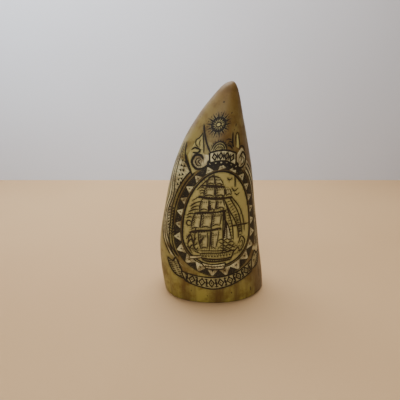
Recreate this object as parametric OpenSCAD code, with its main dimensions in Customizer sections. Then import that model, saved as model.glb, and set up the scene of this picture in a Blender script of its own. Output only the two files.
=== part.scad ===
// Engraved tooth ornament: a cast resin tooth that stands on its flat base.
// The picture on its front is cut into the casting, and pigment fills each groove.
// Millimetres. +Z runs from base to tip, -Y is the engraved front.
// The origin is the middle of the tooth's box, on the surface that it stands on.

/* [Tooth] */
// Height from the base to the tip
tooth_h = 127; // [105:1:155]
// Greatest width, left to right
tooth_w = 66; // [54:1:80]
// Depth of the body, front to back
tooth_d = 50; // [41:1:60]
// Radius of the rounded edge around the base
foot_r = 1.5; // [0.5:0.1:3]

/* [Casting] */
// Thickness of the resin wall around the core
wall = 5; // [3.5:0.5:6.5]
// Height at which the core ends, below the solid tip
core_top = 104; // [80:1:108]

/* [Base] */
// Thickness of the felt pad let into the base
pad_t = 1.6; // [1:0.1:3]
// Step from the rim of the base up to the face of the pad
pad_lift = 0.3; // [0.2:0.1:1]
// Width of the resin rim that the tooth stands on
rim_w = 3.5; // [2.5:0.5:5]

/* [Engraving] */
// Depth of the engraved grooves
groove = 0.8; // [0.6:0.1:1.2]
// Width of a fine engraved line
fine = 0.45; // [0.3:0.05:0.6]
// Width of a bold engraved line
bold = 0.7; // [0.5:0.05:0.9]
// Number of pale triangles around the oval
teeth_n = 20; // [16:1:24]
// Number of rays in the sunburst
rays_n = 16; // [12:2:20]
// Number of gun ports along the ship's side
ports_n = 9; // [6:1:10]

/* [Hidden] */

resin_colour = [0.56, 0.46, 0.22];
core_colour = [0.72, 0.68, 0.58];
felt_colour = [0.16, 0.22, 0.16];
pigment_colour = [0.12, 0.11, 0.08];

// The drawing is laid out on a tooth of this size, and it stretches with the tooth.
drawn_w = 66;
drawn_h = 127;
across = tooth_w / drawn_w;
up = tooth_h / drawn_h;

// Reach of each side of the outline at nine heights, from the tip down to the base.
// The last number of each list only bends the curve as it meets the base.
left_reach = [10.3, 5.5, -0.2, -8.1, -16.7, -23.9, -28.9, -32.8, -30, -20];
right_reach = [10.3, 13, 15, 17, 20, 23.4, 26, 29.5, 33, 29.5];
spans = 8;
around = 30;
layers = 11;
hair = 0.02;

// --- The tooth's surface ---------------------------------------------------

function smooth(a, b, c, d, t) =
    0.5 * (2 * b + (c - a) * t + (2 * a - 5 * b + 4 * c - d) * t * t
    + (3 * b - a - 3 * c + d) * t * t * t);

function reach(list, before, k) =
    let (i = min(floor(k), spans - 1))
    across * smooth(i == 0 ? before : list[i - 1], list[i], list[i + 1], list[i + 2], k - i);

// How far down the tooth a height is: 0 at the tip, 1 at the base
function drop(z) = sqrt(max(0, 1 - z / tooth_h));
function right_edge(z) = reach(right_reach, left_reach[1], spans * drop(z));
function left_edge(z) = reach(left_reach, right_reach[1], spans * drop(z));
function middle(z) = (right_edge(z) + left_edge(z)) / 2;
function half_w(z) = (right_edge(z) - left_edge(z)) / 2;
// The tooth is rounder near its tip than at its base
function half_d(z) = half_w(z) * tooth_d / tooth_w * (1.03 + 0.21 * (1 - drop(z)));

// Radius of the cross-section towards an angle: 0 is the front, 90 the right side.
// The left flank is a little squarer than the right one.
function section_r(a, w, d) =
    let (n = 2.2 - 0.25 * sin(a))
    pow(pow(abs(sin(a)) / w, n) + pow(abs(cos(a)) / d, n), -1 / n);

function skin_point(a, z, inset = 0) =
    let (r = section_r(a, max(half_w(z) - inset, hair), max(half_d(z) - inset, hair)))
    [middle(z) + r * sin(a), -r * cos(a), z];

function foot_inset(z) =
    z < foot_r ? foot_r - sqrt(foot_r * foot_r - (foot_r - z) * (foot_r - z)) : 0;

function turn(i) = 360 * i / around;

// Closed solid through a list of rings, each drawn in by its own inset
module lofted(heights, insets, top_point) {
    rings = [for (j = [0:len(heights) - 1], i = [0:around - 1])
        skin_point(turn(i), heights[j], insets[j])];
    last = len(heights) - 1;
    sides = [for (j = [0:last - 1], i = [0:around - 1])
        let (a = j * around + i, b = j * around + (i + 1) % around)
        [a, a + around, b + around, b]];
    bottom = [[for (i = [0:around - 1]) i]];
    peak = (last + 1) * around;
    cap = [for (i = [0:around - 1])
        [last * around + i, peak, last * around + (i + 1) % around]];
    polyhedron(concat(rings, [top_point]), concat(sides, bottom, cap));
}

skin_heights = concat([0, foot_r * 0.3],
    [for (j = [layers:-1:1]) let (z = tooth_h * (1 - pow(j / layers, 2))) if (z > foot_r * 1.2) z]);
tip = [right_reach[0] * across, 0, tooth_h];

// Slide that puts the middle of the tooth's box over the origin
slide = -(max([for (z = skin_heights) right_edge(z) - foot_inset(z)])
    + min([for (z = skin_heights) left_edge(z) + foot_inset(z)])) / 2;

module skin() {
    lofted(skin_heights, [for (z = skin_heights) foot_inset(z)], tip);
}

// --- Drawing on the surface ------------------------------------------------
// A drawn point is [across, height]: across is measured along the curved front
// from its middle, positive to the right, and height from the base.

function angle_of(p) = p[0] * across / half_d(p[1] * up) * 180 / PI;
function on_surface(p) = skin_point(angle_of(p), p[1] * up);
function unit(v) = v / norm(v);

// Way out of the surface at a drawn point
function outward(p) =
    let (
        step = 0.2,
        along = on_surface([p[0] + step, p[1]]) - on_surface([p[0] - step, p[1]]),
        lift = on_surface([p[0], p[1] + step]) - on_surface([p[0], p[1] - step])
    )
    unit(cross(along, lift));

// A cutter starts this far outside the tooth, clear of the curve of its surface
proud = 1.6;

// A convex cutter through a patch of the surface
module patch(corners, depth = groove) {
    n = len(corners);
    hull() polyhedron(
        [for (level = [-depth, proud], p = corners) on_surface(p) + outward(p) * level],
        [[for (i = [0:n - 1]) i], [for (i = [n - 1:-1:0]) n + i]]
    );
}

// Way across a line at one of its points, longer where the line turns
function across_line(points, i) =
    let (
        last = len(points) - 1,
        closed = norm(points[0] - points[last]) < hair,
        back = i > 0 ? points[i] - points[i - 1]
            : closed ? points[last] - points[last - 1] : points[1] - points[0],
        ahead = i < last ? points[i + 1] - points[i]
            : closed ? points[1] - points[0] : points[last] - points[last - 1],
        a = unit([-back[1], back[0]]),
        b = unit([-ahead[1], ahead[0]]),
        half = unit(a + b),
        stretch = half / max(half * a, 0.5)
    )
    [stretch[0] / across, stretch[1] / up] / 2;

// A flat rectangle that stands in the surface from one drawn point to another
function gate(a, b, depth = groove) =
    let (n = outward((a + b) / 2), in = n * depth, out = n * proud)
    [on_surface(a) - in, on_surface(a) + out, on_surface(b) + out, on_surface(b) - in];

function centre_of(g) = (g[0] + g[1] + g[2] + g[3]) / 4;

// Each stretch of a line has a small nub at its joints that lies inside the next
// stretch, so the two overlap and never only touch
nub = 0.05;

module through(gates) {
    last = len(gates) - 2;
    closed = norm(gates[0][0] - gates[last + 1][0]) < hair;
    for (i = [0:last]) {
        a = centre_of(gates[i]);
        b = centre_of(gates[i + 1]);
        way = unit(b - a) * nub;
        from_nub = closed || i > 0;
        to_nub = closed || i < last;
        hull() {
            polyhedron(concat(gates[i], gates[i + 1], [a - way, b + way]),
                concat([[0, 1, 2, 3], [7, 6, 5, 4]],
                    from_nub ? [[0, 1, 8]] : [], to_nub ? [[4, 5, 9]] : []));
        }
    }
}

module path(points, width = fine) {
    through([for (i = [0:len(points) - 1])
        let (side = across_line(points, i) * width)
        gate(points[i] - side, points[i] + side)]);
}

module line(a, b, width = fine) {
    path([a, b], width);
}

module dots(points, size) {
    for (p = points) {
        patch([for (a = [0:90:270]) p + size / 2 * [cos(a) / across, sin(a) / up]]);
    }
}

function arc(centre, r, from, to, steps) =
    [for (i = [0:steps]) let (a = from + (to - from) * i / steps)
        centre + [r[0] * cos(a), r[1] * sin(a)]];

function between(a, b, t) = a + (b - a) * t;

module lozenges(places, half) {
    for (p = places) {
        patch([p - [half[0], 0], p + [0, half[1]], p + [half[0], 0], p - [0, half[1]]]);
    }
}

// The plain face of a ribbon and a little around it, where no other line may run
module face(top, bottom) {
    clear = 0.6;
    last = len(top) - 1;
    through([for (i = [0:last])
        let (side = [i == 0 ? -clear : i == last ? clear : 0, clear])
        gate(top[i] + side, bottom[i] + [side[0], -clear], 2 * groove)]);
}

module outline(top, bottom, width) {
    last_top = top[len(top) - 1];
    last_bottom = bottom[len(bottom) - 1];
    path(top, width);
    path(bottom, width);
    line(top[0], bottom[0], width);
    line(last_top, last_bottom, width);
}

// --- Oval frame around the ship --------------------------------------------

oval_centre = [4.3, 47];
oval_half_w = 19.6;
oval_above = 33;
oval_below = 21.7;
oval_steps = 24;
band_in = 0.9;
band_out = 4.1;
band_drop = 2.2;

// Point on the oval at an angle from its right-hand side, moved out by a distance
function oval(a, out = 0) =
    let (
        rise = sin(a),
        high = rise < 0 ? oval_below : oval_above,
        x = cos(a) * (rise < 0 ? 1 + 0.06 * sin(-2 * a) * sign(cos(a)) : 1),
        away = unit([cos(a) / oval_half_w, rise / high])
    )
    oval_centre + [oval_half_w * x, high * rise] + away * out;

// The band grows wider below the oval
function band_edge(a) = band_out + band_drop * max(0, -sin(a));

module oval_ring_cut() {
    difference() {
        path([for (i = [0:oval_steps]) oval(360 * i / oval_steps)], bold);
        scene_ribbon_face();
    }
}

module sawtooth_ground() {
    through([for (i = [0:oval_steps])
        let (a = 360 * i / oval_steps)
        gate(oval(a, band_in), oval(a, band_edge(a)))]);
}

// Each pale triangle stands on the band's inner edge and points outwards
module sawtooth_islands() {
    for (i = [0:teeth_n - 1]) {
        a = 360 * (i + 0.5) / teeth_n;
        foot = 130 / teeth_n;
        patch([oval(a - foot, band_in - 0.4), oval(a, band_edge(a) - 0.5),
            oval(a + foot, band_in - 0.4)], 2 * groove);
    }
}

module sawtooth_band_cut() {
    difference() {
        sawtooth_ground();
        sawtooth_islands();
        scene_ribbon_face();
    }
}

// A small dark triangle in the middle of each pale one
module sawtooth_dots_cut() {
    difference() {
        for (i = [0:teeth_n - 1]) {
            a = 360 * (i + 0.5) / teeth_n;
            foot = 25 / teeth_n;
            low = between(band_in, band_edge(a), 0.15);
            patch([oval(a - foot, low), oval(a, low + 1), oval(a + foot, low)]);
        }
        scene_ribbon_face();
    }
}

// --- Flanks -----------------------------------------------------------------

// Left edge of the dotted and woven panels, which draw in to a waist between them
panel_edge = [[-20.3, 87], [-21.7, 76], [-21.6, 65], [-25, 56], [-25.6, 48], [-23.8, 39], [-18.6, 30]];
rule_gap = 1.5;

function beside_band(a, row) = oval(a, band_edge(a) + 1 + rule_gap * row);

module rules_left_cut() {
    path([for (i = [0:5]) beside_band(132 + 18 * i, 0)], fine);
    for (row = [0:2]) {
        path([for (p = panel_edge) p - [rule_gap * row, 0]], fine);
    }
}

module rules_right_cut() {
    for (row = [0:2]) {
        path([for (i = [0:4]) beside_band(58 - 20 * i, row)], fine);
    }
}

module panel_line_cut() {
    path([[-17.2, 94], [-16.8, 89], [-15.4, 84.6], [-13.2, 80.6], [-11.2, 77.8]], bold);
    for (i = [0:3]) {
        line([-19.4, 93 - 1.5 * i], [-18.2, 92.4 - 1.5 * i]);
    }
}

module flank_dots_cut() {
    rows = 6;
    for (i = [0:rows - 1]) {
        dots([between([-16.6, 82.4], [-18.4, 72], i / (rows - 1)),
            between([-18.6, 84], [-20, 71], i / (rows - 1))], 0.9);
    }
}

module woven_band_cut() {
    rows = 7;
    for (i = [0:rows - 1]) {
        lean = i % 2 == 0 ? 0.6 : -0.6;
        z = 55.6 - 2.1 * i;
        line([-24, z - lean], [-23.1, z + lean]);
        line([-22.6, z + lean], [-21.7, z - lean]);
    }
}

// --- Crest above the oval ---------------------------------------------------

sun_centre = [-0.7, 104.6];

module sunburst_cut() {
    path(arc(sun_centre, [1.1, 1.1], 20, 340, 6));
    for (i = [0:rays_n - 1]) {
        a = 360 * i / rays_n;
        out = i % 2 == 0 ? 6 : 4.6;
        foot = 1.9;
        spread = 8;
        patch([sun_centre + foot * [cos(a - spread), sin(a - spread)],
            sun_centre + out * [cos(a), sin(a)],
            sun_centre + foot * [cos(a + spread), sin(a + spread)]]);
    }
}

module crest_fan_cut() {
    centre = [1.8, 92.2];
    path(arc(centre, [4, 3.9], 5, 175, 6));
    path(arc(centre, [3, 3], 8, 172, 5));
    for (a = [30:30:150]) {
        line(centre + 0.7 * [cos(a), sin(a)], centre + 2.2 * [cos(a), sin(a)]);
    }
    for (i = [0:2]) {
        line([6.8 + i, 94.4 - 0.7 * i], [8.6 + i, 92.4 - 0.8 * i]);
    }
}

module pennant_left_cut() {
    path([[-8.6, 104.2], [-7.7, 101], [-6.6, 98], [-3.9, 91.6]], bold);
    path([[-8.8, 100.4], [-8.2, 97.6], [-7.2, 94.4], [-6, 91.4]]);
    path([[-10.4, 98.6], [-9.8, 96], [-9.2, 93.4]]);
}

module pennant_right_cut() {
    path([[8.4, 101.4], [8.9, 99.4], [9.1, 97.4], [9.2, 95.4]], bold);
    path([[12, 100.4], [12.6, 98], [13.1, 96], [13.6, 94]]);
    path([[10.4, 99.4], [10.8, 97.4], [11.1, 95.6]]);
}

upper_top = [[-3.2, 89.6], [1.5, 91.2], [6.5, 91], [12.2, 89]];
upper_bottom = [[-3, 84.4], [2, 85.6], [7, 85.3], [12.4, 82.8]];

module upper_ribbon_cut() {
    outline(upper_top, upper_bottom, bold);
    path([[-4.2, 83.8], [-6, 82.2], [-9, 81.8], [-11.8, 85],
        [-10, 88.6], [-7.6, 88.4], [-6, 86.2]], bold);
    path([[13.6, 83], [15.2, 81.8], [18.2, 82.8], [19, 86.4], [16, 89.6], [14.6, 86]], bold);
    path([[-12.4, 90.2], [-10.6, 91.2], [-8.6, 90.6]], bold);
    path([[13.6, 91], [15.4, 92.6], [17.4, 91.2]], bold);
}

module upper_ornament_cut() {
    lozenges([[-0.3, 87.6], [4.3, 88.3], [8.9, 87.4]], [1.3, 1.8]);
    dots([[2, 88.2], [6.6, 88.1], [11, 86.2]], 0.9);
    dots([[0.9, 89.6], [3.2, 89.8], [5.5, 89.7], [7.8, 89.3]], 0.7);
}

// --- Ribbon below the oval --------------------------------------------------

lower_top = [[-15, 19.8], [-7, 18], [1.7, 17.6], [12, 19], [19, 21.6], [25, 24.8]];
lower_bottom = [[-13.6, 14], [-7, 12], [1, 11], [9.5, 12.4], [17.5, 15.2], [24.4, 18.6]];

module lower_ribbon_cut() {
    outline(lower_top, lower_bottom, bold);
    path([[-16, 20.4], [-19, 27.6], [-21.4, 25.4], [-24.4, 26.6], [-21.4, 18.8], [-15.3, 15.8]], bold);
    path([[25.9, 25.8], [28.4, 29.4], [30.4, 26.8], [33, 27.2], [30.4, 20.6], [25.7, 19.2]], bold);
    for (i = [0:1]) {
        line([-21.1 + i, 21 - 0.4 * i], [-20.7 + i, 23.2 - 0.4 * i]);
    }
}

function lower_middle(t) =
    let (
        k = t * (len(lower_top) - 1),
        i = min(floor(k), len(lower_top) - 2)
    )
    between(between(lower_top[i], lower_top[i + 1], k - i),
        between(lower_bottom[i], lower_bottom[i + 1], k - i), 0.5);

module lower_ornament_cut() {
    cells = 8;
    lozenges([for (i = [0:cells - 1]) lower_middle((i + 0.5) / cells)], [1.5, 2]);
    dots([for (i = [1:cells - 1]) lower_middle(i / cells)], 0.9);
    dots([[-18.2, 22.6], [28.8, 24]], 1);
}

// --- Ship in the oval -------------------------------------------------------

scene_top = [[-5.8, 28.2], [1, 26.4], [9, 27]];
scene_bottom = [[-3.4, 23.6], [1.5, 22.6], [8, 23]];

module scene_ribbon_face() {
    face(scene_top, scene_bottom);
}

module scene_ribbon_cut() {
    outline(scene_top, scene_bottom, fine);
    dots([for (i = [0:5]) [-1.8 + 1.7 * i, 25]], 0.9);
}

module ship_hull_cut() {
    path([[-5.2, 31.2], [-6.5, 34], [3, 33], [13.4, 34.2], [12.4, 30]]);
    path([[-5.2, 31.2], [-4.4, 29.8], [4, 29.4], [12.4, 30]], bold);
    path([[-4.4, 29.8], [-1, 28.4], [5, 28.2], [11.6, 28.8], [12.4, 30]]);
}

module gun_ports_cut() {
    for (i = [0:ports_n - 1]) {
        p = between([-3.6, 31.4], [10.4, 31.6], i / (ports_n - 1));
        line(p - [0, 0.3], p + [0, 0.3], bold);
    }
}

module bowsprit_cut() {
    for (row = [0:2]) {
        path([[-6.4 + 0.5 * row, 32.2 - 1.3 * row], [-8.2, 32.3 - 1.3 * row],
            [-10.2 + 0.6 * row, 32.6 - 1.3 * row]]);
    }
    path([[-8.6, 33.6], [-9.4, 34.4], [-9, 35.4]]);
}

module masts_and_yards_cut() {
    path([[0.4, 78.4], [2.4, 72], [2.9, 64.5], [0.4, 47.6], [-0.2, 34.8]]);
    path([[4.8, 72.4], [6.6, 64.5], [6.6, 52], [7.4, 35]]);
    path([[-2.6, 76.4], [3.2, 76.4]]);
    path([[-3, 72], [2, 71.4], [6.6, 71.4]]);
    path([[-7, 66.2], [-2, 64.6], [6, 64.5], [11.2, 66]], bold);
    path([[-6.8, 58], [2, 57.6], [8.4, 59.2]], bold);
    path([[-11, 45.8], [-4, 46.6], [5.6, 48.4]], bold);
}

module sails_cut() {
    path([[-2.2, 75.6], [-2.4, 72.8]]);
    path([[3.6, 75.6], [5.6, 72.6]]);
    path([[-3.9, 71.3], [-6.6, 70.4], [-6.8, 67.2]]);
    path([[-5.6, 68.6], [-3.8, 67.4], [-2.4, 68.4]]);
    path([[-1.2, 70.6], [-1.2, 65.8]]);
    path([[7.6, 70.8], [10.4, 70], [10.5, 67]]);
    path([[4.4, 68.6], [5, 67.4]]);
    path([[-4.9, 63.8], [-6.3, 59.2]]);
    path([[-1.2, 63.6], [-1.2, 58.8]]);
    path([[7.8, 63.4], [7.8, 60.4]]);
    path([[-7.2, 56.8], [-8.8, 54.6], [-10.6, 47]]);
    path([[-5.2, 56.8], [-4.9, 47.8]]);
    path([[5.4, 56.6], [5.2, 49.8]]);
    path([[-6.6, 45.2], [-5.5, 35.6], [-1.4, 35.8], [-1.5, 45.6]]);
    path([[1.5, 46.2], [0.9, 35.8], [3, 35.4], [4.8, 46.8]]);
    for (i = [0:2]) {
        line([-8.4 - 0.4 * i, 53 - 2.2 * i], [-6.4 - 0.2 * i, 54 - 2.2 * i]);
    }
}

module rigging_cut() {
    path([[8.6, 62.4], [11.6, 55.6], [15.8, 47.8], [17.2, 42]]);
    path([[10.6, 64], [15.1, 57], [18.4, 46], [19.2, 42]]);
    path([[8.6, 54], [10, 49.6], [13, 42]]);
    path([[-1.2, 77.4], [-5, 73.6], [-8.4, 69.6]]);
    line([11.1, 57.8], [13.6, 58.4]);
    line([13.1, 54], [15.2, 54.4]);
    line([14.9, 51], [16.2, 51.3]);
    line([18.8, 48.4], [22.4, 49]);
    line([11.4, 48.4], [14.6, 48.4]);
}

module waves_cut() {
    for (row = [0:2]) {
        path([for (j = [0:3]) [8.8 + 2 * j, 39.6 - 1.8 * row + 0.5 * sin(140 * j + 40 * row)]]);
    }
    path([[16.6, 37.6], [18.4, 40.2], [20.6, 37.4], [18.2, 34.6]]);
    for (i = [0:1]) {
        line([14.6 + 1.3 * i, 31 + 0.8 * i], [16 + 1.3 * i, 33.4 + 0.8 * i]);
    }
}

module coast_cut() {
    path([[-12.6, 41], [-10.6, 43.4], [-9.4, 40], [-7.8, 42]]);
    path([[-11.6, 37.4], [-10.4, 39.4], [-9, 37], [-7.6, 39]]);
    for (i = [0:2]) {
        line([-10.4 + 1.3 * i, 35.8 - 0.2 * i], [-9.6 + 1.3 * i, 37 - 0.4 * i]);
    }
}

module clouds_cut() {
    path([[-11.4, 60.2], [-8.6, 61.8], [-6.6, 62.4]]);
    path([[-11, 58.8], [-8.6, 59.8], [-7.4, 60.4]]);
    path([[-12.2, 56.2], [-10.2, 57.4], [-8.8, 57.8]]);
    path(arc([-12, 51.4], [1.2, 1.2], 20, 320, 5));
}

module gulls_cut() {
    path([[12.6, 75.2], [12.9, 73.4], [12.8, 71.6]]);
    path([[10.9, 70.6], [12.6, 68.9], [14.6, 70]]);
    path([[13.4, 68], [14.6, 66.6], [16.6, 68.4]]);
    path([[8.2, 75.6], [9.2, 74.6], [10.6, 75.4]]);
}

// --- The sub-parts ----------------------------------------------------------

module engraving() {
    oval_ring_cut();
    sawtooth_band_cut();
    sawtooth_dots_cut();
    rules_left_cut();
    rules_right_cut();
    panel_line_cut();
    flank_dots_cut();
    woven_band_cut();
    sunburst_cut();
    crest_fan_cut();
    pennant_left_cut();
    pennant_right_cut();
    upper_ribbon_cut();
    upper_ornament_cut();
    lower_ribbon_cut();
    lower_ornament_cut();
    scene_ribbon_cut();
    ship_hull_cut();
    gun_ports_cut();
    bowsprit_cut();
    masts_and_yards_cut();
    sails_cut();
    rigging_cut();
    waves_cut();
    coast_cut();
    clouds_cut();
    gulls_cut();
}

pad_roof = pad_lift + pad_t;
core_layers = 7;
core_heights = [for (j = [0:core_layers]) between(pad_roof, core_top, j / core_layers)];

module core_shape() {
    lofted(core_heights, [for (z = core_heights) wall],
        [middle(core_top), 0, core_top + 1]);
}

module pad_shape(from, to) {
    translate([0, 0, from])
        linear_extrude(to - from)
            polygon([for (i = [0:around - 1])
                let (p = skin_point(turn(i), 0, foot_r + rim_w)) [p[0], p[1]]]);
}

module resin_tooth() {
    color(resin_colour) translate([slide, 0, 0]) difference() {
        skin();
        core_shape();
        pad_shape(-1, pad_roof);
        engraving();
    }
}

module filler_core() {
    color(core_colour) translate([slide, 0, 0]) core_shape();
}

module base_pad() {
    color(felt_colour) translate([slide, 0, 0]) pad_shape(pad_lift, pad_roof);
}

// Pigment fills its groove up to the surface of the tooth
module pigment() {
    color(pigment_colour) translate([slide, 0, 0]) intersection() {
        skin();
        children();
    }
}

module oval_ring() { pigment() oval_ring_cut(); }
module sawtooth_band() { pigment() sawtooth_band_cut(); }
module sawtooth_dots() { pigment() sawtooth_dots_cut(); }
module rules_left() { pigment() rules_left_cut(); }
module rules_right() { pigment() rules_right_cut(); }
module panel_line() { pigment() panel_line_cut(); }
module flank_dots() { pigment() flank_dots_cut(); }
module woven_band() { pigment() woven_band_cut(); }
module sunburst() { pigment() sunburst_cut(); }
module crest_fan() { pigment() crest_fan_cut(); }
module pennant_left() { pigment() pennant_left_cut(); }
module pennant_right() { pigment() pennant_right_cut(); }
module upper_ribbon() { pigment() upper_ribbon_cut(); }
module upper_ornament() { pigment() upper_ornament_cut(); }
module lower_ribbon() { pigment() lower_ribbon_cut(); }
module lower_ornament() { pigment() lower_ornament_cut(); }
module scene_ribbon() { pigment() scene_ribbon_cut(); }
module ship_hull() { pigment() ship_hull_cut(); }
module gun_ports() { pigment() gun_ports_cut(); }
module bowsprit() { pigment() bowsprit_cut(); }
module masts_and_yards() { pigment() masts_and_yards_cut(); }
module sails() { pigment() sails_cut(); }
module rigging() { pigment() rigging_cut(); }
module waves() { pigment() waves_cut(); }
module coast() { pigment() coast_cut(); }
module clouds() { pigment() clouds_cut(); }
module gulls() { pigment() gulls_cut(); }

resin_tooth();
filler_core();
base_pad();
oval_ring();
sawtooth_band();
sawtooth_dots();
rules_left();
rules_right();
panel_line();
flank_dots();
woven_band();
sunburst();
crest_fan();
pennant_left();
pennant_right();
upper_ribbon();
upper_ornament();
lower_ribbon();
lower_ornament();
scene_ribbon();
ship_hull();
gun_ports();
bowsprit();
masts_and_yards();
sails();
rigging();
waves();
coast();
clouds();
gulls();
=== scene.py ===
import math
import random
import bpy
import numpy as np
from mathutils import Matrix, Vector
from mathutils.geometry import delaunay_2d_cdt


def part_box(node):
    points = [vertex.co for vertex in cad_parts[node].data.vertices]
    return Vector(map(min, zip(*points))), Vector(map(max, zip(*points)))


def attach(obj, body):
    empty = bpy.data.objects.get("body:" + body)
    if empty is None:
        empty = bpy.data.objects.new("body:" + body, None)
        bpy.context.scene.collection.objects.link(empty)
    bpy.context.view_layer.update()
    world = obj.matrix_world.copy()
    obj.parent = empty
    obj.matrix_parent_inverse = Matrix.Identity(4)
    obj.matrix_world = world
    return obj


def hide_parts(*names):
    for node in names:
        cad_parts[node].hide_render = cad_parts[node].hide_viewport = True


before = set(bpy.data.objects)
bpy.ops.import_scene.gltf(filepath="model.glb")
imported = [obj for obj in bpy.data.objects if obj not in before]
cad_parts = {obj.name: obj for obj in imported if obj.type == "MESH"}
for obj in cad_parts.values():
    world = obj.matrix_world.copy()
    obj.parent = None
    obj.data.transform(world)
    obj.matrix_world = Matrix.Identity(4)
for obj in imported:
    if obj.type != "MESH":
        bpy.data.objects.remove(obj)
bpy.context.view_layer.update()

# --- Camera, table and light -------------------------------------------------
# The tooth stands on a pale cloth-covered table with a plain wall close behind it.
# Soft daylight falls from above and a little behind. A cool light washes the wall from
# the left, and a weak warm one fills in from the front.

eye = (-0.00765, -0.2326, 0.1328)
eye_tilt = 72
camera_data = bpy.data.cameras.new("camera")
camera_data.lens = 36
camera_data.sensor_width = 36
camera = bpy.data.objects.new("camera", camera_data)
camera.location = eye
camera.rotation_euler = (math.radians(eye_tilt), 0, 0)
bpy.context.scene.collection.objects.link(camera)
bpy.context.scene.camera = camera


def tone(red, green, blue):
    """Linear colour of a paint chip whose three screen values run from 0 to 255."""
    chip = [level / 255 for level in (red, green, blue)]
    linear = [c / 12.92 if c < 0.04045 else ((c + 0.055) / 1.055) ** 2.4 for c in chip]
    return (*linear, 1.0)


def new_material(name):
    """A material with its Principled shader, and its node tree."""
    material = bpy.data.materials.new(name)
    material.use_nodes = True
    return material, material.node_tree, material.node_tree.nodes["Principled BSDF"]


def feed(tree, node, inputs):
    """Links or sets each input that is given."""
    for key, value in inputs.items():
        if isinstance(value, bpy.types.NodeSocket):
            tree.links.new(value, node.inputs[key])
        else:
            node.inputs[key].default_value = value


def place(tree, kind, inputs, **settings):
    """Adds a node, sets its properties, then feeds its inputs."""
    node = tree.nodes.new(kind)
    for name, value in settings.items():
        setattr(node, name, value)
    feed(tree, node, inputs)
    return node


def blend(tree, factor, first, second):
    """Colour mixed from first to second by a factor, as an output socket."""
    node = place(tree, "ShaderNodeMix", {0: factor, 6: first, 7: second}, data_type="RGBA")
    return node.outputs[2]


def noise(tree, where, scale, detail=2.0, roughness=0.5):
    """Cloudy noise at a place, as an output socket that runs from 0 to 1."""
    node = place(tree, "ShaderNodeTexNoise",
                 {"Vector": where, "Scale": scale, "Detail": detail, "Roughness": roughness})
    return node.outputs[0]


def bump(tree, height, strength, distance):
    """A Bump node's normal, as an output socket."""
    return place(tree, "ShaderNodeBump", {"Height": height, "Strength": strength,
                                          "Distance": distance}).outputs["Normal"]


def object_place(tree):
    return place(tree, "ShaderNodeTexCoord", {}).outputs["Object"]


def flat_sheet(name, corners, material):
    mesh = bpy.data.meshes.new(name)
    mesh.from_pydata(corners, [], [(0, 1, 2, 3)])
    sheet = bpy.data.objects.new(name, mesh)
    mesh.materials.append(material)
    bpy.context.scene.collection.objects.link(sheet)


def plain_surface(name, colour, shade, grain):
    """A matt surface whose colour drifts a little, with a fine woven grain."""
    material, tree, shader = new_material(name)
    spot = object_place(tree)
    feed(tree, shader, {"Base Color": blend(tree, noise(tree, spot, 5.0), colour, shade),
                        "Normal": bump(tree, noise(tree, spot, grain), 0.15, 0.0004),
                        "Roughness": 0.85})
    return material


wall_y = 0.258
room = 1.6
table_cloth = plain_surface("table_cloth", tone(178, 144, 102), tone(194, 160, 118), 900.0)
wall_paint = plain_surface("wall_paint", tone(192, 190, 194), tone(204, 206, 214), 300.0)
flat_sheet("table", [(-room, -room, 0), (room, -room, 0), (room, wall_y, 0), (-room, wall_y, 0)],
           table_cloth)
flat_sheet("wall", [(-room, wall_y, 0), (room, wall_y, 0), (room, wall_y, room), (-room, wall_y, room)],
           wall_paint)


def soft_light(name, power, size, spot, aim, colour, spread=180):
    data = bpy.data.lights.new(name, "AREA")
    data.energy = power
    data.spread = math.radians(spread)
    data.shape = "DISK"
    data.size = size
    data.color = colour
    light = bpy.data.objects.new(name, data)
    light.location = spot
    light.rotation_euler = (Vector(aim) - Vector(spot)).to_track_quat("-Z", "Y").to_euler()
    bpy.context.scene.collection.objects.link(light)


soft_light("window", 5.0, 0.45, (-0.05, 0.17, 0.5), (0.03, 0.08, 0.0), (1.0, 0.98, 0.95))
soft_light("sky", 1.3, 0.4, (-0.5, -0.1, 0.55), (-0.25, wall_y, 0.3), (0.78, 0.9, 1.0), 60)
soft_light("fill", 4.4, 0.7, (-0.12, -0.75, 0.5), (0, 0, 0.06), (1.0, 0.96, 0.89))
world = bpy.data.worlds.new("room_light")
world.use_nodes = True
background = world.node_tree.nodes["Background"]
feed(world.node_tree, background, {"Color": (0.62, 0.61, 0.62, 1), "Strength": 0.22})
bpy.context.scene.world = world

# --- Form of the cast tooth --------------------------------------------------
# The tooth leans to the right at its tip, swells to the left low down and is flat
# under its base. Each side follows a smooth curve, and the sections are full ovals.

MM = 0.001
form_h = 127.0
form_w = 66.0
form_d = 50.0
foot_r = 1.5
left_reach = [10.3, 5.5, -0.2, -8.1, -16.7, -23.9, -28.9, -32.8, -30, -20]
right_reach = [10.3, 13, 15, 17, 20, 23.4, 26, 29.5, 33, 29.5]
spans = 8
hair = 0.02
# The section is squarer at the left flank, and rounder near the tip than at the base
squareness = 2.2
left_squarer = 0.25
base_depth = 1.03
tip_rounding = 0.21


def bent(a, b, c, d, t):
    """Place at t between b and c on the smooth curve through all four."""
    bend = 2 * b + (c - a) * t + (2 * a - 5 * b + 4 * c - d) * t**2
    return 0.5 * (bend + (3 * b - a - 3 * c + d) * t**3)


def fall(z):
    return np.sqrt(np.clip(1 - z / form_h, 0, 1))


def side(reach, before, z):
    """Reach of one side at height z, on a smooth curve through the listed reaches."""
    k = spans * fall(z)
    i = np.minimum(k.astype(int), spans - 1)
    knots = np.array([before] + reach)
    return bent(knots[i], knots[i + 1], knots[i + 2], knots[i + 3], k - i)


def both_sides(z):
    return side(left_reach, right_reach[1], z), side(right_reach, left_reach[1], z)


def half_depth(z):
    left, right = both_sides(z)
    return (right - left) / 2 * form_d / form_w * (base_depth + tip_rounding * (1 - fall(z)))


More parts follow.
